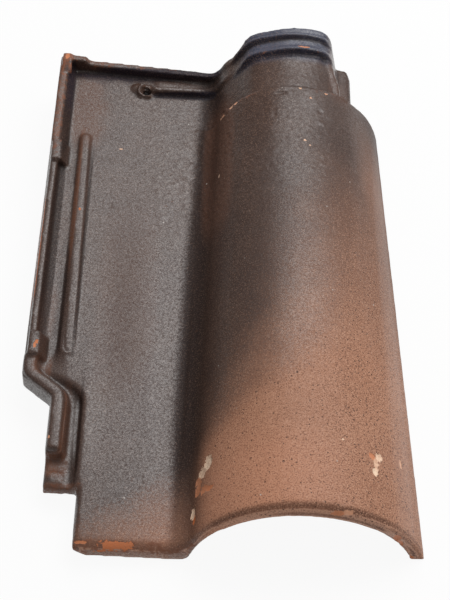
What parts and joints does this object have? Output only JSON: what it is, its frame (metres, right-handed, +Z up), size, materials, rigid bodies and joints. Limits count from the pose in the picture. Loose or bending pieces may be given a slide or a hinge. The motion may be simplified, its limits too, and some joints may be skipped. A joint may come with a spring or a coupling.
{
  "type": "clay roof tile",
  "caption": "Interlocking clay roof tile with a flat pan, a tapered hollow roll ending in a ribbed neck, a side lap with rim and channel, and a nail hole at the head.",
  "frame": {"origin": "on the floor under the middle of the tile's box, with the tile lying on its nib, the pan's front corner and the roll's free edge", "axes": "+X across the roof from the side lap to the roll, +Y up the roof from foot to head, +Z up from the floor"},
  "size_m": [0.2686, 0.4374, 0.0751],
  "materials": {
    "fired_clay": "satin dark grey engobe flashed to red brown, worn to bare clay on some edges"
  },
  "bodies": {
    "root": {"roof_tile": "fired_clay"}
  },
  "joints": []
}
